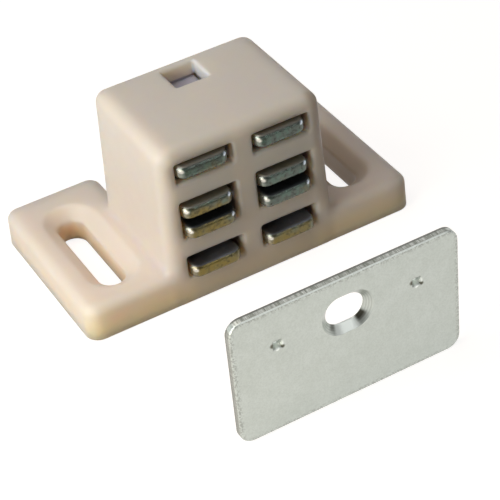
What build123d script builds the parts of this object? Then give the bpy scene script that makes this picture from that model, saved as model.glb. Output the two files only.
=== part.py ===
"""Heavy double magnetic cabinet catch with its strike plate.

A moulded case with two slotted screw ears holds four magnet packs, two beside two.
Each pack is a block magnet between two steel pole plates, whose tips stand out of
windows in the front wall. The packs float: they slide a little in and out in their
pockets, so that all eight tips can lie against the strike plate. A snap-in cover
closes the back of the case.

Frame, in millimetres: the origin is the centre of the mounting face, +Z points away
from the mounting surface, +X runs from ear to ear, and the pole tips point to -Y.
"""

import os

from build123d import *

os.makedirs("parts", exist_ok=True)

# Pole plates and magnets
plate_width = 8.5
plate_thickness = 2.1
plate_corner_radius = 1.5
plate_edge_chamfer = 0.35
plate_tail = 1.2
tip_reach = 1.4
magnet_width = 8.2
magnet_depth = 10.5
magnet_thickness = 5.25
magnet_edge_radius = 0.3

# Where the packs lie in their pockets
pack_travel = 1.0
upper_pack_setback = 0.6
seat_gap = 0.1
lift_gap = 0.05
left_pack_drift = -0.5
right_pack_drift = -0.45

# Pockets and walls of the case
pocket_width = 9.75
pocket_floor = 5.0
pocket_headroom = 0.15
web_thickness = 3.25
shelf_thickness = 1.05
front_wall = 2.2
side_wall = 3.295
roof_thickness = 2.4
side_lean = 1.0
front_lean = 0.39
case_corner_radius = 2.05
case_top_radius = 1.85

# Windows of the front wall
window_sill = 0.45
window_magnet_margin = 1.25
window_middle_margin = 0.6
window_corner_radius = 0.4
window_edge_chamfer = 0.3

# Ears
ear_width = 13.93
ear_tail = 8.6
ear_thickness = 5.75
ear_front_setback = 0.05
ear_draft = 2.0
ear_corner_radius = 2.3
ear_edge_radius = 1.2
notch_width = 23.8
foot_chamfer = 0.2
junction_radius = 0.8

# Screw slots
slot_width = 4.5
slot_length = 18.7
slot_to_case = 6.08
slot_offset = -0.5
countersink_spread = 2.15
countersink_depth = 1.6
countersink_rim_radius = 0.8

# Relief of the underside of each ear, around its slot
relief_rim = 2.0
relief_depth = 0.5
relief_corner_radius = 1.5

# Rear cover and its latch
cover_gap = 0.1
cover_fit = 0.1
cover_thickness = 1.9
cover_recess = 0.5
skirt_depth = 5.5
skirt_wall = 1.5
cover_rib = 3.2
cover_edge_chamfer = 0.3
cavity_corner_radius = 0.8
snap_edge_chamfer = 0.25
snap_width = 5.65
snap_length = 5.2
snap_corner_radius = 0.3
latch_bar_width = 4.8
latch_bar_drop = 0.95
latch_width = 5.0
latch_slit = 0.6
latch_thickness = 1.4
latch_room = 1.3
latch_inset = 0.4
latch_gap = 0.15
nib_flat = 2.1
nib_ramp = 1.5

# Strike plate, standing in front of the catch
strike_width = 36.7
strike_height = 21.7
strike_thickness = 1.25
strike_corner_radius = 2.2
strike_edge_radius = 0.3
strike_center_x = -2.38
strike_stand_off = 30.05
strike_hole_width = 4.6
strike_hole_length = 6.2
strike_hole_height = 15.3
strike_countersink_spread = 1.1
strike_countersink_depth = 1.0
spur_spacing = 22.55
spur_size = 1.5
spur_length = 1.6
spur_tip = 0.4
pit_depth = 0.9
pit_bottom = 0.6

# Faces and edges this near to a height count as lying at it
touching = 0.01

# Sizes that follow
pack_height = magnet_thickness + 2 * plate_thickness
pocket_height = pack_height + pocket_headroom
pocket_pitch = pocket_height + shelf_thickness
pocket_center_x = (web_thickness + pocket_width) / 2
pocket_depth = seat_gap + magnet_depth + plate_tail + pack_travel
cavity_width = 2 * pocket_width + web_thickness
cavity_height = pocket_pitch + pocket_height
cavity_center_z = pocket_floor + cavity_height / 2
cavity_roof = pocket_floor + cavity_height
plate_length = tip_reach + front_wall + seat_gap + magnet_depth + plate_tail

case_width = cavity_width + 2 * side_wall
case_height = cavity_roof + roof_thickness
case_depth = (
    front_wall + pocket_depth + cover_gap + skirt_depth + cover_thickness + cover_recess
)
base_length = case_width + 2 * ear_width
base_depth = case_depth + ear_tail
slot_x = case_width / 2 + slot_to_case

front_y = -base_depth / 2
case_center_y = front_y + case_depth / 2
case_back_y = front_y + case_depth
pocket_front_y = front_y + front_wall
pocket_back_y = pocket_front_y + pocket_depth
skirt_front_y = pocket_back_y + cover_gap
cover_inner_y = skirt_front_y + skirt_depth
cover_outer_y = cover_inner_y + cover_thickness
tip_y = front_y - tip_reach
magnet_front_y = pocket_front_y + seat_gap
snap_back_y = pocket_back_y + snap_length
strike_back_y = front_y - strike_stand_off
strike_face_y = strike_back_y - strike_thickness

columns = {
    "left": -pocket_center_x + left_pack_drift,
    "right": pocket_center_x + right_pack_drift,
}
lower_pack_z = pocket_floor + lift_gap
upper_pack_z = lower_pack_z + pocket_pitch
lower_pole_z = lower_pack_z + pack_height - plate_thickness
top_pole_z = upper_pack_z + pack_height - plate_thickness

# Each pack's or plate's underside, and how far it is pushed in
packs = {
    "lower": (lower_pack_z, 0),
    "upper": (upper_pack_z, upper_pack_setback),
}
poles = [
    (top_pole_z, upper_pack_setback),
    (upper_pack_z, upper_pack_setback),
    (lower_pole_z, 0),
    (lower_pack_z, 0),
]
windows = [
    (lower_pack_z - window_sill, lower_pack_z + plate_thickness + window_magnet_margin),
    (lower_pole_z - window_middle_margin, upper_pack_z + plate_thickness + window_middle_margin),
    (top_pole_z - window_magnet_margin, cavity_roof),
]

cover_width = cavity_width - 2 * cover_fit
cover_height = cavity_height - 2 * cover_fit
cover_corner_radius = cavity_corner_radius - cover_fit
latch_bar_z = cavity_roof - latch_bar_drop
latch_top_z = latch_bar_z - cover_fit
latch_room_z = latch_top_z - latch_thickness - latch_room
nib_top_z = cavity_roof - cover_fit
nib_back_y = snap_back_y - latch_gap


def upright(y):
    """Plane at y whose local axes are X and Z; its normal points to the front."""
    return Plane.XZ.offset(-y)


# The case's outer form: four leaning walls, rounded at the corners and round the roof
with BuildPart() as case_form:
    with BuildSketch(upright(front_y)):
        with BuildLine():
            Polyline(
                (-case_width / 2, 0),
                (side_lean - case_width / 2, case_height),
                (case_width / 2 - side_lean, case_height),
                (case_width / 2, 0),
                close=True,
            )
        make_face()
    extrude(amount=-case_depth)
    with BuildSketch(Plane.YZ):
        with BuildLine():
            Polyline(
                (front_y, 0),
                (front_y + front_lean, case_height),
                (case_back_y - front_lean, case_height),
                (case_back_y, 0),
                close=True,
            )
        make_face()
    extrude(amount=case_width, both=True, mode=Mode.INTERSECT)
    corner_edges = case_form.edges().group_by(Axis.Z)[1]
    fillet(corner_edges, case_corner_radius)
    fillet(case_form.edges().group_by(Axis.Z)[-1], case_top_radius)


# Housing: the case on its two ears, one moulding
with BuildPart() as housing:
    with BuildSketch() as ear_plan:
        with Locations((0, ear_front_setback / 2)):
            Rectangle(base_length, base_depth - ear_front_setback)
        with Locations((0, (case_center_y + base_depth / 2) / 2)):
            Rectangle(notch_width, base_depth / 2 - case_center_y, mode=Mode.SUBTRACT)
        outer = ear_plan.vertices().filter_by_position(
            Axis.Y, case_back_y, base_depth
        ) + ear_plan.vertices().group_by(Axis.Y)[0]
        fillet(outer, ear_corner_radius)
    extrude(amount=ear_thickness, taper=ear_draft)
    fillet(housing.edges().group_by(Axis.Z)[-1], ear_edge_radius)

    add(case_form.part)
    junctions = (
        housing.edges()
        .filter_by_position(Axis.Z, ear_thickness - touching, ear_thickness + touching)
        .filter_by_position(Axis.Y, front_y, case_back_y)
        .filter_by_position(Axis.X, -case_width / 2, case_width / 2)
    )
    fillet(junctions, junction_radius)
    chamfer(housing.edges().group_by(Axis.Z)[0], foot_chamfer)

    # the front wall's windows, with softened rims
    with BuildSketch(upright(pocket_front_y)):
        for low, high in windows:
            with Locations((0, (low + high) / 2)):
                with GridLocations(2 * pocket_center_x, 0, 2, 1):
                    RectangleRounded(pocket_width, high - low, window_corner_radius)
    extrude(amount=front_wall + ear_front_setback, mode=Mode.SUBTRACT)
    front_faces = housing.faces().filter_by(lambda face: face.normal_at().Y < -0.99)
    front_face = front_faces.sort_by(SortBy.AREA)[-1]
    chamfer(front_face.inner_wires().edges(), window_edge_chamfer)

    # four pockets, left of and right of the web, under and over the shelf
    with BuildSketch(upright(pocket_front_y)):
        with Locations((0, cavity_center_z)):
            with GridLocations(2 * pocket_center_x, pocket_pitch, 2, 2):
                Rectangle(pocket_width, pocket_height)
    extrude(amount=-pocket_depth, mode=Mode.SUBTRACT)

    # the opening that takes the rear cover
    with BuildSketch(upright(pocket_back_y)):
        with Locations((0, cavity_center_z)):
            RectangleRounded(cavity_width, cavity_height, cavity_corner_radius)
    extrude(amount=-case_depth, mode=Mode.SUBTRACT)

    # the snap window in the roof and the bar that its latch catches
    with BuildSketch(Plane((0, (pocket_back_y + snap_back_y) / 2, cavity_center_z))):
        RectangleRounded(snap_width, snap_length, snap_corner_radius)
    extrude(amount=case_height, mode=Mode.SUBTRACT)
    roof_face = housing.faces().filter_by(Plane.XY).sort_by(Axis.Z)[-1]
    chamfer(roof_face.inner_wires().edges(), snap_edge_chamfer)
    with BuildSketch(Plane((0, (snap_back_y + cover_outer_y) / 2, latch_bar_z))):
        Rectangle(latch_bar_width, cover_outer_y - snap_back_y)
    extrude(amount=latch_bar_drop + roof_thickness / 2)

    # countersunk screw slots
    for x in (-slot_x, slot_x):
        with BuildSketch(Plane((x, slot_offset, 0))):
            SlotOverall(slot_length, slot_width, rotation=90)
        extrude(amount=ear_thickness, mode=Mode.SUBTRACT)
        with BuildSketch(Plane((x, slot_offset, ear_thickness - countersink_depth))):
            SlotOverall(slot_length, slot_width, rotation=90)
        with BuildSketch(Plane((x, slot_offset, ear_thickness))):
            SlotOverall(
                slot_length + 2 * countersink_spread,
                slot_width + 2 * countersink_spread,
                rotation=90,
            )
        loft(ruled=True, mode=Mode.SUBTRACT)
    ear_tops = housing.faces().filter_by(Plane.XY).filter_by_position(
        Axis.Z, ear_thickness - touching, ear_thickness + touching
    )
    slot_rims = [edge for top in ear_tops for rim in top.inner_wires() for edge in rim.edges()]
    fillet(slot_rims, countersink_rim_radius)

    # shallow relief under each ear
    with BuildSketch():
        with GridLocations(base_length - ear_width, 0, 2, 1):
            RectangleRounded(
                ear_width - 2 * relief_rim,
                base_depth - 2 * relief_rim,
                relief_corner_radius,
            )
    extrude(amount=relief_depth, mode=Mode.SUBTRACT)
housing.part.label = "housing"
export_step(housing.part, "parts/housing.step")


# Rear cover: a plug with a skirt, cross ribs behind the packs and a snap latch
with BuildPart() as rear_cover:
    with BuildSketch(upright(skirt_front_y)):
        with Locations((0, cavity_center_z)):
            RectangleRounded(cover_width, cover_height, cover_corner_radius)
            Rectangle(
                cover_width - 2 * skirt_wall,
                cover_height - 2 * skirt_wall,
                mode=Mode.SUBTRACT,
            )
            Rectangle(cover_rib, cover_height - skirt_wall)
            Rectangle(cover_width - skirt_wall, cover_rib)
    extrude(amount=-skirt_depth)
    with BuildSketch(upright(cover_inner_y)):
        with Locations((0, cavity_center_z)):
            RectangleRounded(cover_width, cover_height, cover_corner_radius)
    extrude(amount=-cover_thickness)
    chamfer(rear_cover.faces().sort_by(Axis.Y)[-1].outer_wire().edges(), cover_edge_chamfer)

    # room for the latch to flex, and the notch that lets in the housing's latch bar
    with BuildSketch(Plane((0, (skirt_front_y + cover_inner_y) / 2, latch_room_z))):
        Rectangle(latch_width + 2 * latch_slit, skirt_depth)
    extrude(amount=case_height, mode=Mode.SUBTRACT)
    with BuildSketch(Plane((0, (snap_back_y + case_back_y) / 2, latch_top_z))):
        Rectangle(latch_bar_width + 2 * cover_fit, case_back_y - snap_back_y)
    extrude(amount=case_height, mode=Mode.SUBTRACT)

    # the latch arm and its ramped nib
    with BuildSketch(Plane.YZ.offset(-latch_width / 2)):
        with BuildLine():
            Polyline(
                (cover_outer_y - cover_thickness / 2, latch_top_z - latch_thickness),
                (skirt_front_y + latch_inset, latch_top_z - latch_thickness),
                (skirt_front_y + latch_inset, latch_top_z),
                (nib_back_y - nib_flat - nib_ramp, latch_top_z),
                (nib_back_y - nib_flat, nib_top_z),
                (nib_back_y, nib_top_z),
                (nib_back_y, latch_top_z),
                (cover_outer_y - cover_thickness / 2, latch_top_z),
                close=True,
            )
        make_face()
    extrude(amount=latch_width)
rear_cover.part.label = "rear_cover"
export_step(rear_cover.part, "parts/rear_cover.step")


# Pole plates: four in each column, numbered from the top down
for side, column_x in columns.items():
    for number, (pole_z, setback) in enumerate(poles, start=1):
        with BuildPart() as pole_plate:
            plate_y = tip_y + setback + plate_length / 2
            with BuildSketch(Plane((column_x, plate_y, pole_z))) as plate_plan:
                Rectangle(plate_width, plate_length)
                fillet(plate_plan.vertices().group_by(Axis.Y)[0], plate_corner_radius)
            extrude(amount=plate_thickness)
            rims = pole_plate.edges().group_by(Axis.Z)
            broken = rims[0].sort_by(Axis.Y)[:-1] + rims[-1].sort_by(Axis.Y)[:-1]
            chamfer(broken, plate_edge_chamfer)
        pole_plate.part.label = f"pole_plate_{side}_{number}"
        export_step(pole_plate.part, f"parts/{pole_plate.part.label}.step")


# Magnets: one block between the two plates of each pack
for side, column_x in columns.items():
    for level, (pack_z, setback) in packs.items():
        with BuildPart() as magnet:
            magnet_y = magnet_front_y + setback + magnet_depth / 2
            with BuildSketch(Plane((column_x, magnet_y, pack_z + plate_thickness))):
                RectangleRounded(magnet_width, magnet_depth, magnet_edge_radius)
            extrude(amount=magnet_thickness)
        magnet.part.label = f"magnet_{side}_{level}"
        export_step(magnet.part, f"parts/{magnet.part.label}.step")


# Strike plate: pressed steel, with a countersunk slot between two spurs
with BuildPart() as strike_plate:
    with BuildSketch(upright(strike_back_y)):
        with Locations((strike_center_x, strike_height / 2)):
            RectangleRounded(strike_width, strike_height, strike_corner_radius)
    extrude(amount=strike_thickness)
    fillet(strike_plate.edges().group_by(Axis.Y)[0], strike_edge_radius)

    with BuildSketch(upright(strike_back_y)):
        with Locations((strike_center_x, strike_hole_height)):
            SlotOverall(strike_hole_length, strike_hole_width)
    extrude(amount=strike_thickness, mode=Mode.SUBTRACT)
    with BuildSketch(upright(strike_face_y + strike_countersink_depth)):
        with Locations((strike_center_x, strike_hole_height)):
            SlotOverall(strike_hole_length, strike_hole_width)
    with BuildSketch(upright(strike_face_y)):
        with Locations((strike_center_x, strike_hole_height)):
            SlotOverall(
                strike_hole_length + 2 * strike_countersink_spread,
                strike_hole_width + 2 * strike_countersink_spread,
            )
    loft(ruled=True, mode=Mode.SUBTRACT)

    # spurs punched out of the plate leave tapered pits in its face
    for x in (strike_center_x - spur_spacing / 2, strike_center_x + spur_spacing / 2):
        for start, end, wide, narrow, mode in (
            (strike_back_y, strike_back_y + spur_length, spur_size, spur_tip, Mode.ADD),
            (strike_face_y, strike_face_y + pit_depth, spur_size, pit_bottom, Mode.SUBTRACT),
        ):
            with BuildSketch(upright(start)):
                with Locations((x, strike_hole_height)):
                    Rectangle(wide, wide)
            with BuildSketch(upright(end)):
                with Locations((x, strike_hole_height)):
                    Rectangle(narrow, narrow)
            loft(mode=mode)
strike_plate.part.label = "strike_plate"
export_step(strike_plate.part, "parts/strike_plate.step")
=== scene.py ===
"""Looks of the heavy double magnetic catch: cream nylon, chromated pole tips and a zinc strike plate.

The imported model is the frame. Everything is in metres, in the model's own frame: the origin
is the centre of the mounting face, +Z is up, and the pole tips point to -Y.
"""

import math

import bpy
from mathutils import Matrix, Vector

MM = 0.001

# Camera: in front of the catch, to its left and above
CAMERA_PLACE = Vector((-96.63, -212.12, 179.63)) * MM
CAMERA_AZIMUTH = math.radians(-25.986)
CAMERA_ELEVATION = math.radians(38.625)
CAMERA_ROLL = math.radians(-6.357)
CAMERA_LENS = 131.9
CAMERA_SENSOR = 36.0
CAMERA_NEAR = 0.01
CAMERA_FAR = 10.0

# Studio: each soft box's place, target and size in millimetres, its power in watts and its colour,
# the sky's light, and the floor's reach in metres, its drop below the catch, its colour and its glow
SOFT_BOXES = {
    "side": ((-110, -60, 50), (-15, 0, 10), 80, 0.056, (1.0, 0.92, 0.77)),
    "key": ((-200, -20, 140), (0, 0, 10), 200, 0.34, (0.91, 0.975, 1.0)),
    "top": ((-75, 60, 345), (0, 0, 10), 300, 0.42, (1.0, 0.935, 0.88)),
    "back": ((170, 260, 170), (0, 0, 10), 250, 0.065, (0.98, 0.98, 1.0)),
    "right": ((240, -30, 70), (0, -10, 12), 60, 0.012, (0.85, 0.93, 1.0)),
    "front": ((85, -205, 190), (0, -30, 12), 45, 0.025, (0.96, 0.98, 0.98)),
}
SKY_LEVEL = 0.02
FLOOR_REACH = 3.0
FLOOR_DROP = 0.02 * MM
FLOOR_COLOUR = (0.39, 0.34, 0.30)
FLOOR_ROUGHNESS = 0.9
FLOOR_GLOW = 0.86

# Shared effects: a mottle's gain and noise, how much finer the grain's second noise is, each noise's
# share of the grain, the full part of a spot's reach, and the soft edges' samples
MOTTLE_GAIN = 4.0
MOTTLE_ROUGHNESS = 0.55
GRAIN_FINER = 3.1
GRAIN_SHARES = (0.7, 0.3)
SPOT_CORE = 0.3
BEVEL_SAMPLES = 8

# Nylon's colours, among them painted amber glows, painted shades and a painted light, the light's depth
# in it, and how round its edges look
NYLON_CREAM = (0.80, 0.69, 0.59)
NYLON_BLUSH = (0.775, 0.665, 0.60)
NYLON_AMBER_GLOW = (1.0, 0.755, 0.45)
NYLON_CASE_GLOW = (0.80, 0.61, 0.35)
NYLON_THROAT_GLOW = (0.87, 0.62, 0.35)
NYLON_WEB_SHADE = (0.60, 0.49, 0.40)
NYLON_RIGHT_SHADE = (0.44, 0.35, 0.25)
NYLON_POCKET_SHADE = (0.34, 0.30, 0.29)
SNAP_LATCH_SHADE = (0.44, 0.41, 0.46)
SNAP_WALL_LIGHT = (0.92, 0.84, 0.78)
NYLON_SCATTER = (1.0, 0.72, 0.42)
NYLON_DEPTH = 6 * MM
NYLON_RELIEF = 0.008 * MM
WINDOW_SOFTNESS = 0.8 * MM
SLOT_SOFTNESS = 1.0 * MM
OUTER_SOFTNESS = 3.0 * MM

# Snap window: half its width, its middle and half its depth
SNAP_HALF_WIDTH = 2.7 * MM
SNAP_MIDDLE = 1.8 * MM
SNAP_HALF_DEPTH = 2.45 * MM

# Screw slots: how far each one's middle line is from the case's middle, its middle and half its run
SLOT_CENTRE = 20.75 * MM
SLOT_MIDDLE = -0.5 * MM
SLOT_RUN = 7.1 * MM

# Pole plates: the left column's middle, the step to the right column, the height that parts the packs,
# the steps to the upper pack and to a pack's other plate, the lowest plate's underside, a plate's
# thickness, a hair's breadth above 0, and the painted shade in the gap between the packs
PLATE_MIDDLE = -7.0 * MM
COLUMN_STEP = 13.05 * MM
PACK_PARTING = 15.1 * MM
PACK_STEP = 10.65 * MM
PLATE_STEP = 7.35 * MM
PLATE_FOOT = 5.05 * MM
PLATE_THICKNESS = 2.1 * MM
HAIR = 0.001 * MM
GAP_MIDDLE = 14.5 * MM
GAP_REACH = 0.8 * MM
GAP_SHARE = 0.9

# Chromate's colours, with a stain colour that is also painted shade, the painted shade in the gap, a
# painted glint colour and bare zinc that is also a painted highlight, how the gold changes up a plate,
# to the right column and with the clouds, how dull a plate's upper face is, and the places and reach of
# its two painted highlights
CHROMATE_TEAL = (0.095, 0.112, 0.098)
CHROMATE_MINT = (0.105, 0.16, 0.13)
CHROMATE_GAP_SHADE = (0.028, 0.036, 0.045)
CHROMATE_GOLD = (0.165, 0.125, 0.040)
CHROMATE_STAIN_AND_SHADE = (0.035, 0.032, 0.026)
CHROMATE_SLATE = (0.26, 0.275, 0.32)
CHROMATE_OLIVE = (0.33, 0.325, 0.29)
GLINT_BLUE = (0.80, 0.88, 1.0)
BARE_ZINC_AND_HIGHLIGHT = (0.74, 0.72, 0.65)
GOLD_UP = -0.35
GOLD_RIGHT = -0.40
GOLD_CLOUDS = 0.5
UPPER_DULLNESS = 0.28
TIP_HIGHLIGHT_PLACE = (-3.75 * MM, 1.45 * MM)
TIP_HIGHLIGHT_REACH = 0.52 * MM
GLINT_PLACE = (3.4 * MM, 1.72 * MM)
GLINT_REACH = 0.40 * MM
CHROMATE_SOFTNESS = 0.7 * MM
CHROMATE_RELIEF = 0.016 * MM

# Ferrite
FERRITE_DARK = (0.035, 0.036, 0.040)
FERRITE_PALE = (0.07, 0.07, 0.075)
FERRITE_RELIEF = 0.017 * MM

# Strike plate: its middle, half its width, its height, its screw slot's height and half run, and how
# far each spur stands from the middle
STRIKE_MIDDLE = -2.38 * MM
STRIKE_HALF_WIDTH = 18.35 * MM
STRIKE_HEIGHT = 21.7 * MM
STRIKE_SLOT_HEIGHT = 15.3 * MM
STRIKE_SLOT_RUN = 0.8 * MM
SPUR_REACH = 11.275 * MM

# Zinc: its colours, with a painted highlight colour, the specks' share, the sheared edges' streaks, the
# sink's turned rings, the start, end and softness of the sink's painted highlight and painted shades in
# radians, and each pit's painted highlight and shade spots by place, reach and colour
ZINC_GREY = (0.55, 0.59, 0.545)
ZINC_PALE = (0.60, 0.64, 0.60)
ZINC_DARK = (0.24, 0.245, 0.22)
ZINC_BRIGHT = (0.84, 0.86, 0.82)
ZINC_SHEARED = (0.27, 0.29, 0.24)
ZINC_HIGHLIGHT = (0.95, 1.0, 0.95)
ZINC_SOFTNESS = 0.35 * MM
ZINC_RELIEF = 0.012 * MM
SPECK_SHARE = 0.10
STREAK_RATE = 4200.0
STREAK_PULL = (1.0, 0.08, 1.0)
SINK_SHADE = (0.05, 0.045, 0.03)
SINK_ROUGHNESS = 0.33
RING_RATE = 2 * math.pi / (0.28 * MM)
SINK_HIGHLIGHT_ANGLES = (-1.98, -1.25, 0.10)
SINK_DARK_SHADE_ANGLES = (-1.22, -0.62, 0.12)
SINK_BROWN_SHADE_ANGLES = (-2.35, -2.05, 0.12)
BROWN_SHARE = 0.7
PIT_SHADE = (0.12, 0.12, 0.09)
PIT_SPOTS = [
    ((0.35 * MM, -0.10 * MM), 0.80 * MM, ZINC_HIGHLIGHT),
    ((-0.80 * MM, 0.10 * MM), 0.55 * MM, PIT_SHADE),
    ((0.80 * MM, -0.65 * MM), 0.42 * MM, PIT_SHADE),
    ((-0.05 * MM, -0.75 * MM), 0.45 * MM, ZINC_HIGHLIGHT),
]

# Fades along a length: where each one starts and ends in millimetres, and its value at both ends
FADES = {
    # Nylon: the painted amber glow low on the base, and the ears
    "base": (1, 6, 1.0, 0.0),
    "base front": (-15.8, -12.5, 0.9, 0.3),
    "ear": (13.2, 15, 0.0, 1.0),
    # Nylon: the painted amber glow in the slots' throats, and the painted shade in the right slot's
    # dish
    "throat": (2.2, 4.2, 1.0, 0.0),
    "throat height": (1.4, 4.2, 1.0, 0.0),
    "dish": (3.4, 5.2, 0.65, 0.0),
    "dish side": (12, 15, 0.0, 1.0),
    # Nylon: painted shade on the lower part of the front round the tips, and on the case's right front
    # edge
    "web front": (-15.4, -15.1, 0.5, 0.0),
    "web side": (9.5, 12, 1.0, 0.0),
    "web height": (15, 24, 1.0, 0.0),
    "corner front": (-14.2, -12.8, 1.0, 0.0),
    "corner side": (11, 12.4, 0.0, 0.45),
    "corner height": (5, 9, 0.0, 1.0),
    # Nylon: painted shade inside the packs' pockets
    "pocket front": (-14.5, -13.3, 0.0, 1.0),
    "pocket back": (-3, -1.8, 1.0, 0.0),
    "pocket side": (11.8, 12, 1.0, 0.0),
    "pocket top": (25.6, 26, 1.0, 0.0),
    "pocket foot": (3, 3.5, 0.0, 1.0),
    # Nylon: the snap window's outline, painted shade on the latch in it and painted light on its right
    # wall
    "snap": (0.15, 0.5, 1.0, 0.0),
    "latch top": (25.2, 25.5, 1.0, 0.0),
    "latch foot": (24.5, 24.9, 0.0, 1.0),
    "snap wall": (2.3, 2.6, 0.0, 1.0),
    "snap wall foot": (25.2, 25.5, 0.0, 1.0),
    # Nylon: where edges are soft
    "roof": (25.3, 26.3, 0.0, 1.0),
    "clear of snap": (0.8, 2.5, 0.0, 1.0),
    "case side": (11.3, 12.3, 0.0, 1.0),
    "ear edges": (4.8, 6.6, SLOT_SOFTNESS, OUTER_SOFTNESS),
    # Chromate: by height, for the gold, the upper faces' painted shade by row, and the rows with
    # painted glints
    "gold": (4, 27, 1.25, 0.35),
    "olive": (8, 12, 0.0, 1.0),
    "dark top row": (18.5, 22, 0.2, 0.55),
    "dark low row": (8, 12, 1.0, 0.3),
    "glint rows": (8, 12, 0.0, 0.6),
    # Chromate: across a plate, for painted shade at the lowest row's back-left, bare zinc and painted
    # highlight at the left end, and painted shade at the right end
    "dark corner": (-4, 3, 0.7, 0.0),
    "left end": (-4.1, -3.2, 0.28, 0.0),
    "right end": (3.5, 4.25, 0.0, 0.5),
    # Zinc: the sheared edges, the darker specks along the rim, and the painted highlight along the top
    # front edge
    "behind face": (-46.95, -46.75, 0.0, 1.0),
    "sheared": (0.3, 0.4, 1.0, 0.0),
    "torn": (-46.3, -46.1, 0.0, 0.9),
    "ends": (0.1, 0.5, 0.75, 0.0),
    "rim": (0.15, 0.95, 0.65, 0.0),
    "arris": (0.12, 0.26, 1.0, 0.0),
    "arris face": (-46.95, -46.85, 1.0, 0.0),
    "strike back": (-45.97, -45.87, 0.0, 1.0),
    # Zinc: out from the slot's middle line
    "sink": (3.3, 3.45, 1.0, 0.0),
    "near hole": (2.6, 3.3, 0.95, 0.0),
    "sink gloss": (3.3, 3.6, 0.0, 1.0),
    "sink grain": (3.4, 3.6, 0.0, 1.0),
    "sink edge": (3.5, 3.8, 0.0, ZINC_SOFTNESS),
}

# Changes by a mask's value: where each one starts and ends, and its value at both ends
CHANGES = {
    "nylon roughness": (0.0, 1.0, 0.40, 0.52),
    "gold": (0.1, 1.0, 0.0, 1.0),
    "stain": (0.45, 0.95, 0.0, 0.45),
    "mint": (0.4, 0.9, 0.0, 0.5),
    "mint on gold": (0.2, 0.7, 1.0, 0.15),
    "upper face": (0.90, 0.99, 0.0, 1.0),
    "wear_and_highlight": (0.1, 0.6, 1.0, 0.7),
    "chromate roughness": (0.0, 1.0, 0.14, 0.28),
    "ferrite roughness": (0.0, 1.0, 0.5, 0.7),
    "streaks": (0.30, 0.72, 0.0, 1.0),
    "worn specks": (0.35, 0.75, 0.0, 0.9),
    "rings": (-1.0, 1.0, 0.05, 0.35),
    "zinc roughness": (0.0, 1.0, 0.34, 0.48),
    "studio walls": (0.0, 0.35, 1.0, 0.35),
}

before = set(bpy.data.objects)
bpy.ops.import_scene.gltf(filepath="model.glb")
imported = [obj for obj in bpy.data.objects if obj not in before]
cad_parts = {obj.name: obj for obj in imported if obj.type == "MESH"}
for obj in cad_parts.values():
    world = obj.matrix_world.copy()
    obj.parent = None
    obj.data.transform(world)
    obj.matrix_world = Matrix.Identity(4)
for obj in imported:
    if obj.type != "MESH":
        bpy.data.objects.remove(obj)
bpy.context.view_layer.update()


# ---------------------------------------------------------------- node helpers
def add(tree, kind, **settings):
    """A node of that kind, with its properties and sockets set by name."""
    node = tree.nodes.new(kind)
    for name, value in settings.items():
        if name in node.inputs:
            node.inputs[name].default_value = value
        else:
            setattr(node, name, value)
    return node


def math_node(tree, operation, *sides):
    """One Math node. Each side is a socket or a number."""
    node = add(tree, "ShaderNodeMath", operation=operation)
    for slot, side in enumerate(sides):
        if isinstance(side, (int, float)):
            node.inputs[slot].default_value = side
        else:
            tree.links.new(side, node.inputs[slot])
    return node.outputs[0]


def product(tree, first, *others):
    """Sockets or numbers multiplied together."""
    for other in others:
        first = math_node(tree, "MULTIPLY", first, other)
    return first


def total(tree, first, *others):
    """Sockets or numbers added together."""
    for other in others:
        first = math_node(tree, "ADD", first, other)
    return first


def hypotenuse(tree, first, second):
    """The length of a line that runs first one way and second across it."""
    squares = total(tree, product(tree, first, first), product(tree, second, second))
    return math_node(tree, "SQRT", squares)


def mix(tree, factor, first, second):
    """first where the factor is 0, second where it is 1, and straight between them."""
    rise = product(tree, math_node(tree, "SUBTRACT", second, first), factor)
    return total(tree, rise, first)


def ramp(tree, source, low, high, at_low=0.0, at_high=1.0):
    """A smooth step: at_low where source is low, at_high where it is high."""
    node = add(tree, "ShaderNodeMapRange", interpolation_type="SMOOTHSTEP")
    tree.links.new(source, node.inputs["Value"])
    node.inputs["From Min"].default_value = low
    node.inputs["From Max"].default_value = high
    node.inputs["To Min"].default_value = at_low
    node.inputs["To Max"].default_value = at_high
    return node.outputs["Result"]


def fade(tree, source, name):
    """A smooth step along a length, by its name in FADES."""
    start, end, at_start, at_end = FADES[name]
    return ramp(tree, source, start * MM, end * MM, at_start, at_end)


def change(tree, source, name):
    """A smooth step by a mask's value, by its name in CHANGES."""
    return ramp(tree, source, *CHANGES[name])


def zone(tree, *sides):
    """A mask bounded by several fades. Each side is a socket and a fade's name."""
    return product(tree, *[fade(tree, source, name) for source, name in sides])


def spot(tree, across, up, middle, reach):
    """1 at the middle of a round spot, fading to 0 at its reach."""
    aside = math_node(tree, "SUBTRACT", across, middle[0])
    above = math_node(tree, "SUBTRACT", up, middle[1])
    return ramp(tree, hypotenuse(tree, aside, above), SPOT_CORE * reach, reach, 1.0, 0.0)


def sector(tree, angle, start, end, soft):
    """1 between two angles, with soft ends."""
    after = ramp(tree, angle, start - soft, start + soft)
    before = ramp(tree, angle, end - soft, end + soft, 1.0, 0.0)
    return product(tree, after, before)


def blend_colours(tree, factor, first, second):
    """A colour mix. Each side is a socket or an RGB triple."""
    node = add(tree, "ShaderNodeMix", data_type="RGBA")
    for name, side in (("Factor", factor), ("A", first), ("B", second)):
        socket = [s for s in node.inputs if s.name == name and s.enabled][0]
        if isinstance(side, tuple):
            socket.default_value = (*side, 1.0)
        else:
            tree.links.new(side, socket)
    return [s for s in node.outputs if s.enabled][0]


def lay_over(tree, colour, *layers):
    """Lays colours over a first one, each through its own mask."""
    for mask, shade in layers:
        colour = blend_colours(tree, mask, colour, shade)
    return colour


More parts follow.
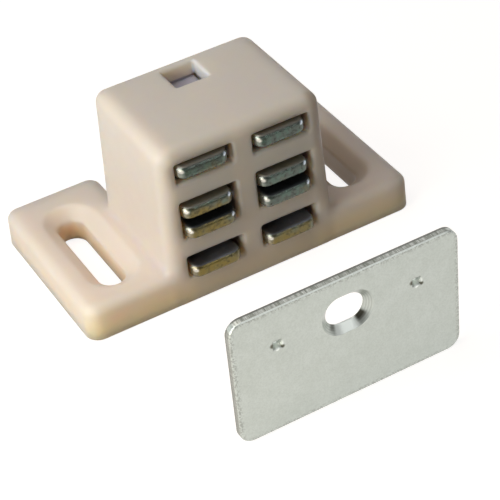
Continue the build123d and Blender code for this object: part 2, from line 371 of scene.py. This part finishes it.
def new_group(name, inputs, output):
    """An empty shader group with number inputs, their values, and one number output."""
    group = bpy.data.node_groups.new(name, "ShaderNodeTree")
    for label, value in inputs.items():
        socket = group.interface.new_socket(label, in_out="INPUT", socket_type="NodeSocketFloat")
        socket.default_value = value
    group.interface.new_socket(output, in_out="OUTPUT", socket_type="NodeSocketFloat")
    return group, group.nodes.new("NodeGroupInput"), group.nodes.new("NodeGroupOutput")


def use_group(tree, group, **values):
    """The output of a shader group, with its inputs set by name."""
    node = tree.nodes.new("ShaderNodeGroup")
    node.node_tree = group
    for name, value in values.items():
        node.inputs[name.capitalize()].default_value = value
    return node.outputs[0]


# ---------------------------------------------------------------- shared effects
def make_mottle():
    """Cloudy patches: noise of the given size in metres, from 0 to 1, with a set contrast."""
    group, start, end = new_group("mottle", {"Size": 4 * MM, "Detail": 3.0, "Contrast": 0.5}, "Mask")
    place = add(group, "ShaderNodeTexCoord")
    noise = add(group, "ShaderNodeTexNoise", Roughness=MOTTLE_ROUGHNESS)
    group.links.new(place.outputs["Object"], noise.inputs["Vector"])
    group.links.new(math_node(group, "DIVIDE", 1.0, start.outputs["Size"]), noise.inputs["Scale"])
    group.links.new(start.outputs["Detail"], noise.inputs["Detail"])
    spread = math_node(group, "SUBTRACT", noise.outputs["Fac"], 0.5)
    scaled = product(group, spread, product(group, start.outputs["Contrast"], MOTTLE_GAIN))
    shifted = add(group, "ShaderNodeMath", operation="ADD", use_clamp=True)
    group.links.new(scaled, shifted.inputs[0])
    shifted.inputs[1].default_value = 0.5
    group.links.new(shifted.outputs[0], end.inputs["Mask"])
    return group


def make_grain():
    """Fine surface relief: two noises, one a third of the other's size, as a height from 0 to 1."""
    group, start, end = new_group("grain", {"Size": 0.5 * MM}, "Height")
    place = add(group, "ShaderNodeTexCoord")
    rate = math_node(group, "DIVIDE", 1.0, start.outputs["Size"])
    coarse = add(group, "ShaderNodeTexNoise", Detail=2.0)
    fine = add(group, "ShaderNodeTexNoise", Detail=1.0)
    heights = []
    for noise, finer, share in zip((coarse, fine), (1.0, GRAIN_FINER), GRAIN_SHARES):
        group.links.new(place.outputs["Object"], noise.inputs["Vector"])
        group.links.new(product(group, rate, finer), noise.inputs["Scale"])
        heights.append(product(group, noise.outputs["Fac"], share))
    group.links.new(total(group, *heights), end.inputs["Height"])
    return group


MOTTLE = make_mottle()
GRAIN = make_grain()


def new_material(name, **settings):
    """A material with the shader's plain settings, its tree and the shader."""
    material = bpy.data.materials.new(name)
    material.use_nodes = True
    tree = material.node_tree
    shader = tree.nodes["Principled BSDF"]
    for label, value in settings.items():
        shader.inputs[label.replace("_", " ")].default_value = value
    return material, tree, shader


def soften_edges(tree, radius):
    """The normal of edges that look rounded. The radius is a socket or a number."""
    bevel = add(tree, "ShaderNodeBevel", samples=BEVEL_SAMPLES)
    if isinstance(radius, float):
        bevel.inputs["Radius"].default_value = radius
    else:
        tree.links.new(radius, bevel.inputs["Radius"])
    return bevel.outputs["Normal"]


def emboss(tree, shader, height, depth, smooth=None):
    """Lets a height from 0 to 1 stand up by depth metres, on the smooth normal where there is one."""
    bump = add(tree, "ShaderNodeBump", Strength=1.0, Distance=depth)
    tree.links.new(height, bump.inputs["Height"])
    if smooth is not None:
        tree.links.new(smooth, bump.inputs["Normal"])
    tree.links.new(bump.outputs["Normal"], shader.inputs["Normal"])


def object_place(tree):
    """The surface point's X, Y and Z in metres."""
    place = add(tree, "ShaderNodeTexCoord")
    split = add(tree, "ShaderNodeSeparateXYZ")
    tree.links.new(place.outputs["Object"], split.inputs[0])
    return split.outputs["X"], split.outputs["Y"], split.outputs["Z"]


# ---------------------------------------------------------------- nylon
def slot_distance(tree, aside, y):
    """How far a point is from the straight line down the middle of its ear's screw slot."""
    across = math_node(tree, "SUBTRACT", aside, SLOT_CENTRE)
    from_middle = math_node(tree, "ABSOLUTE", math_node(tree, "SUBTRACT", y, SLOT_MIDDLE))
    along = math_node(tree, "MAXIMUM", math_node(tree, "SUBTRACT", from_middle, SLOT_RUN), 0.0)
    return hypotenuse(tree, across, along)


def snap_distance(tree, aside, y):
    """How far outside the snap window's outline a point is, less than 0 inside it."""
    beside = math_node(tree, "SUBTRACT", aside, SNAP_HALF_WIDTH)
    from_middle = math_node(tree, "ABSOLUTE", math_node(tree, "SUBTRACT", y, SNAP_MIDDLE))
    beyond = math_node(tree, "SUBTRACT", from_middle, SNAP_HALF_DEPTH)
    return math_node(tree, "MAXIMUM", beside, beyond)


def edge_softness(tree, aside, z, from_snap, from_slot, ear):
    """How round an edge looks: wide on the outside of the case and ears, less at slots and windows."""
    roof = zone(tree, (z, "roof"), (from_snap, "clear of snap"))
    outer = math_node(tree, "MAXIMUM", roof, fade(tree, aside, "case side"))
    on_case = mix(tree, outer, WINDOW_SOFTNESS, OUTER_SOFTNESS)
    return mix(tree, ear, on_case, fade(tree, from_slot, "ear edges"))


def make_nylon():
    """Waxy moulded nylon with soft edges: clouds of blush, painted amber glow on the rims and in the
    slots' throats, painted shade on the front, the right side, the pockets and the latch, and painted
    light on the snap window's right wall.
    """
    material, tree, shader = new_material(
        "nylon", Subsurface_Weight=0.75, Subsurface_Scale=NYLON_DEPTH, IOR=1.5
    )
    shader.inputs["Subsurface Radius"].default_value = NYLON_SCATTER
    x, y, z = object_place(tree)
    aside = math_node(tree, "ABSOLUTE", x)
    from_slot = slot_distance(tree, aside, y)
    from_snap = snap_distance(tree, aside, y)
    ear = fade(tree, aside, "ear")
    rim = blend_colours(tree, ear, NYLON_CASE_GLOW, NYLON_AMBER_GLOW)
    pocket = zone(
        tree,
        (y, "pocket front"),
        (y, "pocket back"),
        (aside, "pocket side"),
        (z, "pocket top"),
        (z, "pocket foot"),
    )
    colour = lay_over(
        tree,
        NYLON_CREAM,
        (use_group(tree, MOTTLE, size=9 * MM, detail=2.0, contrast=0.5), NYLON_BLUSH),
        # Painted amber glow low on the base, as if light shone through the thin nylon
        (zone(tree, (z, "base"), (y, "base front")), rim),
        # Painted amber glow in the slots' throats
        (zone(tree, (from_slot, "throat"), (z, "throat height")), NYLON_THROAT_GLOW),
        # Painted shade on the front's lower part round the tips, on the case's right front edge and in
        # the right slot's dish
        (zone(tree, (y, "web front"), (aside, "web side"), (z, "web height")), NYLON_WEB_SHADE),
        (zone(tree, (y, "corner front"), (x, "corner side"), (z, "corner height")), NYLON_RIGHT_SHADE),
        (zone(tree, (from_slot, "dish"), (x, "dish side")), NYLON_RIGHT_SHADE),
        # Painted shade inside the pockets
        (pocket, NYLON_POCKET_SHADE),
        # Painted shade on the latch in the snap window, and painted light on its right wall
        (zone(tree, (from_snap, "snap"), (z, "latch top"), (z, "latch foot")), SNAP_LATCH_SHADE),
        (zone(tree, (from_snap, "snap"), (x, "snap wall"), (z, "snap wall foot")), SNAP_WALL_LIGHT),
    )
    tree.links.new(colour, shader.inputs["Base Color"])
    polish = use_group(tree, MOTTLE, size=2.5 * MM, detail=3.0, contrast=0.6)
    tree.links.new(change(tree, polish, "nylon roughness"), shader.inputs["Roughness"])
    softness = edge_softness(tree, aside, z, from_snap, from_slot, ear)
    grain = use_group(tree, GRAIN, size=0.7 * MM)
    emboss(tree, shader, grain, NYLON_RELIEF, soften_edges(tree, softness))
    return material


# ---------------------------------------------------------------- chromate and ferrite
def plate_place(tree, x, z):
    """Where a point is on its own pole plate, and 1 where that is in the right column.

    The place is across from the middle in metres, and up from 0 to 1. The right column is moved
    onto the left one, and the upper packs onto the lower ones. The two plates of a pack are then
    a fixed step apart, so the rest after dividing by it is the same.
    """
    column = math_node(tree, "GREATER_THAN", x, 0.0)
    left_middle = math_node(tree, "SUBTRACT", x, PLATE_MIDDLE)
    across = math_node(tree, "SUBTRACT", left_middle, product(tree, column, COLUMN_STEP))
    upper = math_node(tree, "GREATER_THAN", z, PACK_PARTING)
    lowered = math_node(tree, "SUBTRACT", z, product(tree, upper, PACK_STEP))
    height = total(tree, math_node(tree, "SUBTRACT", lowered, PLATE_FOOT), HAIR)
    rest = math_node(tree, "MODULO", height, PLATE_STEP)
    return across, math_node(tree, "DIVIDE", rest, PLATE_THICKNESS), column


def shade_upper_face(tree, across, z):
    """The colour of the plates' upper faces, in painted shade: slate on the lowest row and olive above,
    darker on the top row and at the lowest row's back-left, darkest in the gap between the packs.
    """
    corner = zone(tree, (across, "dark corner"), (z, "dark low row"))
    between = math_node(tree, "COMPARE", z, GAP_MIDDLE, GAP_REACH)
    return lay_over(
        tree,
        CHROMATE_SLATE,
        # Painted shade: olive above the lowest row, darker on the top row and at the lowest row's
        # back-left, darkest in the gap
        (fade(tree, z, "olive"), CHROMATE_OLIVE),
        (math_node(tree, "MAXIMUM", fade(tree, z, "dark top row"), corner), CHROMATE_STAIN_AND_SHADE),
        (product(tree, between, GAP_SHARE), CHROMATE_GAP_SHADE),
    )


def make_chromate():
    """Chromate on tumbled steel: gold low and to the left, else teal, bare zinc at the left ends that
    is partly wear and partly painted highlight, with painted glints and painted shade.
    """
    material, tree, shader = new_material("chromate", Metallic=1.0)
    x, _, z = object_place(tree)
    across, up, column = plate_place(tree, x, z)
    wide = use_group(tree, MOTTLE, size=3.0 * MM, detail=3.0, contrast=0.8)
    small = use_group(tree, MOTTLE, size=0.5 * MM, detail=4.0, contrast=0.9)
    patches = use_group(tree, MOTTLE, size=0.9 * MM, detail=2.0, contrast=1.1)
    gilding = total(
        tree,
        fade(tree, z, "gold"),
        product(tree, up, GOLD_UP),
        product(tree, column, GOLD_RIGHT),
        product(tree, math_node(tree, "SUBTRACT", wide, 0.5), GOLD_CLOUDS),
    )
    gold = change(tree, gilding, "gold")
    mint = product(tree, change(tree, patches, "mint"), change(tree, gold, "mint on gold"))
    upper_face = change(tree, up, "upper face")
    height = product(tree, up, PLATE_THICKNESS)
    # A painted highlight at each plate's top-left corner, and a painted glint near its top right
    tip_highlight = spot(tree, across, height, TIP_HIGHLIGHT_PLACE, TIP_HIGHLIGHT_REACH)
    rim_specks_and_highlight = math_node(tree, "MAXIMUM", fade(tree, across, "left end"), tip_highlight)
    glint = spot(tree, across, height, GLINT_PLACE, GLINT_REACH)
    film = lay_over(
        tree,
        CHROMATE_TEAL,
        (gold, CHROMATE_GOLD),
        (change(tree, small, "stain"), CHROMATE_STAIN_AND_SHADE),
        (mint, CHROMATE_MINT),
        (upper_face, shade_upper_face(tree, across, z)),
        # Bare zinc at the left ends: partly wear, partly a painted highlight
        (product(tree, rim_specks_and_highlight, change(tree, small, "wear_and_highlight")), BARE_ZINC_AND_HIGHLIGHT),
        # Painted shade on the right ends, and a painted glint near the top right on the upper rows
        (fade(tree, across, "right end"), CHROMATE_STAIN_AND_SHADE),
        (product(tree, glint, fade(tree, z, "glint rows")), GLINT_BLUE),
    )
    tree.links.new(film, shader.inputs["Base Color"])
    dull = product(tree, upper_face, UPPER_DULLNESS)
    rough = total(tree, change(tree, small, "chromate roughness"), dull)
    tree.links.new(rough, shader.inputs["Roughness"])
    grain = use_group(tree, GRAIN, size=0.35 * MM)
    emboss(tree, shader, grain, CHROMATE_RELIEF, soften_edges(tree, CHROMATE_SOFTNESS))
    return material


def make_ferrite():
    """Pressed ferrite: dark grey with faint grey clouds."""
    material, tree, shader = new_material("ferrite", Metallic=0.3)
    clouds = use_group(tree, MOTTLE, size=1.5 * MM, detail=4.0, contrast=0.7)
    colour = blend_colours(tree, clouds, FERRITE_DARK, FERRITE_PALE)
    tree.links.new(colour, shader.inputs["Base Color"])
    tree.links.new(change(tree, clouds, "ferrite roughness"), shader.inputs["Roughness"])
    emboss(tree, shader, use_group(tree, GRAIN, size=0.25 * MM), FERRITE_RELIEF)
    return material


# ---------------------------------------------------------------- zinc
def sink_place(tree, right, rise):
    """How far a point is from the line along the strike plate's slot, and at what angle to it."""
    straight = math_node(tree, "MAXIMUM", right, -STRIKE_SLOT_RUN)
    straight = math_node(tree, "MINIMUM", straight, STRIKE_SLOT_RUN)
    beyond = math_node(tree, "SUBTRACT", right, straight)
    return hypotenuse(tree, beyond, rise), math_node(tree, "ARCTAN2", rise, beyond)


def shade_sink(tree, from_slot, angle, face):
    """The countersink's colour: a painted highlight below the slot, painted shade at its lower right
    and lower left, with turned rings.
    """
    in_sink = fade(tree, from_slot, "sink")
    near_hole = fade(tree, from_slot, "near hole")
    rings = math_node(tree, "SINE", product(tree, from_slot, RING_RATE))
    return lay_over(
        tree,
        face,
        (product(tree, change(tree, rings, "rings"), in_sink), ZINC_DARK),
        # Painted highlight below the slot, painted shade at its lower right and lower left
        (product(tree, sector(tree, angle, *SINK_HIGHLIGHT_ANGLES), in_sink), ZINC_HIGHLIGHT),
        (product(tree, sector(tree, angle, *SINK_DARK_SHADE_ANGLES), near_hole), SINK_SHADE),
        (product(tree, sector(tree, angle, *SINK_BROWN_SHADE_ANGLES), near_hole, BROWN_SHARE), SINK_SHADE),
    )


def shade_pits(tree, right, rise, face):
    """The two punched pits behind the spurs: a painted highlight in the middle and below it, painted
    shade at the left and lower right.
    """
    on_right = math_node(tree, "GREATER_THAN", right, 0.0)
    moved = product(tree, on_right, 2 * SPUR_REACH)
    across = math_node(tree, "SUBTRACT", total(tree, right, SPUR_REACH), moved)
    for middle, reach, colour in PIT_SPOTS:
        face = blend_colours(tree, spot(tree, across, rise, middle, reach), face, colour)
    return face


def shade_sheared(tree, y, from_end):
    """The plate's sheared edges: streaks through the thickness, torn dark towards the back."""
    place = add(tree, "ShaderNodeTexCoord")
    pull = add(tree, "ShaderNodeMapping", Scale=STREAK_PULL)
    tree.links.new(place.outputs["Object"], pull.inputs["Vector"])
    streak = add(tree, "ShaderNodeTexNoise", Scale=STREAK_RATE, Detail=3.0, Roughness=0.7)
    tree.links.new(pull.outputs["Vector"], streak.inputs["Vector"])
    return lay_over(
        tree,
        ZINC_SHEARED,
        (change(tree, streak.outputs["Fac"], "streaks"), ZINC_BRIGHT),
        (fade(tree, y, "torn"), ZINC_DARK),
        (fade(tree, from_end, "ends"), ZINC_DARK),
    )


def make_zinc():
    """Dull tumbled zinc: speckled face, sheared edges, a turned sink and two punched pits, with painted
    highlights and painted shade in the sink, on the pits and along the top front edge.
    """
    material, tree, shader = new_material("zinc", Metallic=0.9)
    x, y, z = object_place(tree)
    right = math_node(tree, "SUBTRACT", x, STRIKE_MIDDLE)
    rise = math_node(tree, "SUBTRACT", z, STRIKE_SLOT_HEIGHT)
    from_slot, angle = sink_place(tree, right, rise)
    from_end = math_node(tree, "SUBTRACT", STRIKE_HALF_WIDTH, math_node(tree, "ABSOLUTE", right))
    from_top = math_node(tree, "SUBTRACT", STRIKE_HEIGHT, z)
    inward = math_node(tree, "MINIMUM", from_end, math_node(tree, "MINIMUM", from_top, z))
    clouds = use_group(tree, MOTTLE, size=2.2 * MM, detail=4.0, contrast=0.5)
    specks = use_group(tree, MOTTLE, size=0.25 * MM, detail=3.0, contrast=0.8)
    sheared = zone(tree, (y, "behind face"), (inward, "sheared"))
    unsheared = math_node(tree, "SUBTRACT", 1.0, sheared)
    # Darker specks along the rim
    rim_specks_and_highlight = product(tree, fade(tree, inward, "rim"), change(tree, specks, "worn specks"), unsheared)
    plain = lay_over(
        tree,
        ZINC_GREY,
        (clouds, ZINC_PALE),
        (product(tree, specks, SPECK_SHARE), ZINC_DARK),
        (sheared, shade_sheared(tree, y, from_end)),
        (rim_specks_and_highlight, ZINC_DARK),
        # Painted highlight along the top front edge
        (zone(tree, (from_top, "arris"), (y, "arris face")), ZINC_HIGHLIGHT),
    )
    front = shade_pits(tree, right, rise, shade_sink(tree, from_slot, angle, plain))
    colour = blend_colours(tree, fade(tree, y, "strike back"), front, plain)
    tree.links.new(colour, shader.inputs["Base Color"])
    rough = change(tree, specks, "zinc roughness")
    rough = mix(tree, fade(tree, from_slot, "sink gloss"), SINK_ROUGHNESS, rough)
    tree.links.new(rough, shader.inputs["Roughness"])
    grain = use_group(tree, GRAIN, size=0.30 * MM)
    relief = product(tree, grain, fade(tree, from_slot, "sink grain"))
    smooth = soften_edges(tree, fade(tree, from_slot, "sink edge"))
    emboss(tree, shader, relief, ZINC_RELIEF, smooth)
    return material


def dress_nodes():
    """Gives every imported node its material."""
    looks = {
        "housing": make_nylon(),
        "pole_plate": make_chromate(),
        "magnet": make_ferrite(),
        "strike_plate": make_zinc(),
    }
    looks["rear_cover"] = looks["housing"]
    for name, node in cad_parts.items():
        kind = [key for key in looks if name.startswith(key)][0]
        node.data.materials.clear()
        node.data.materials.append(looks[kind])


# ---------------------------------------------------------------- stage
def make_camera():
    """Looks along azimuth and down by elevation, then turns about its own axis by roll."""
    azimuth, elevation = CAMERA_AZIMUTH, CAMERA_ELEVATION
    forward = Vector(
        (
            -math.sin(azimuth) * math.cos(elevation),
            math.cos(azimuth) * math.cos(elevation),
            -math.sin(elevation),
        )
    )
    level = Vector((math.cos(azimuth), math.sin(azimuth), 0.0))
    upward = level.cross(forward)
    right = math.cos(CAMERA_ROLL) * level + math.sin(CAMERA_ROLL) * upward
    up = -math.sin(CAMERA_ROLL) * level + math.cos(CAMERA_ROLL) * upward
    data = bpy.data.cameras.new("camera")
    data.lens = CAMERA_LENS
    data.sensor_width = CAMERA_SENSOR
    data.clip_start = CAMERA_NEAR
    data.clip_end = CAMERA_FAR
    camera = bpy.data.objects.new("camera", data)
    turn = Matrix((right, up, -forward)).transposed().to_4x4()
    camera.matrix_world = Matrix.Translation(CAMERA_PLACE) @ turn
    bpy.context.scene.collection.objects.link(camera)
    bpy.context.scene.camera = camera


def add_soft_box(name, place, target, size, power, colour):
    """A square lamp at place that faces target."""
    data = bpy.data.lights.new(name, "AREA")
    data.shape = "SQUARE"
    data.size = size
    data.energy = power
    data.color = colour
    lamp = bpy.data.objects.new(name, data)
    lamp.location = place
    lamp.rotation_euler = (target - place).to_track_quat("-Z", "Y").to_euler()
    bpy.context.scene.collection.objects.link(lamp)


def seen_directly(tree):
    """1 for rays from the camera, from gloss and through glass, 0 for diffuse light."""
    path = add(tree, "ShaderNodeLightPath")
    direct = math_node(
        tree, "MAXIMUM", path.outputs["Is Camera Ray"], path.outputs["Is Glossy Ray"]
    )
    return math_node(tree, "MAXIMUM", direct, path.outputs["Is Transmission Ray"])


def make_floor():
    """A pale floor just under the catch. It shows white, and keeps a soft shadow."""
    mesh = bpy.data.meshes.new("floor")
    reach = FLOOR_REACH
    corners = [(-reach, -reach), (reach, -reach), (reach, reach), (-reach, reach)]
    mesh.from_pydata([(a, b, -FLOOR_DROP) for a, b in corners], [], [(0, 1, 2, 3)])
    floor = bpy.data.objects.new("floor", mesh)
    bpy.context.scene.collection.objects.link(floor)
    material, tree, shader = new_material(
        "floor", Roughness=FLOOR_ROUGHNESS, Emission_Color=(1, 1, 1, 1), Specular_IOR_Level=0.0
    )
    shader.inputs["Base Color"].default_value = (*FLOOR_COLOUR, 1.0)
    glow = product(tree, seen_directly(tree), FLOOR_GLOW)
    tree.links.new(glow, shader.inputs["Emission Strength"])
    mesh.materials.append(material)


def make_studio():
    """Soft boxes on all sides and above, in a room with white walls and a grey ceiling.

    The room shows in gloss, but lights little by itself.
    """
    for name, (place, target, size, power, colour) in SOFT_BOXES.items():
        add_soft_box(name, Vector(place) * MM, Vector(target) * MM, size * MM, power, colour)
    world = bpy.data.worlds.new("studio")
    world.use_nodes = True
    tree = world.node_tree
    sky = tree.nodes["Background"]
    sky.inputs["Color"].default_value = (1.0, 1.0, 1.0, 1.0)
    place = add(tree, "ShaderNodeTexCoord")
    split = add(tree, "ShaderNodeSeparateXYZ")
    tree.links.new(place.outputs["Generated"], split.inputs[0])
    walls = change(tree, split.outputs["Z"], "studio walls")
    bright = product(tree, seen_directly(tree), walls)
    tree.links.new(math_node(tree, "MAXIMUM", bright, SKY_LEVEL), sky.inputs["Strength"])
    bpy.context.scene.world = world
    bpy.context.scene.view_settings.view_transform = "Standard"


dress_nodes()
make_camera()
make_floor()
make_studio()
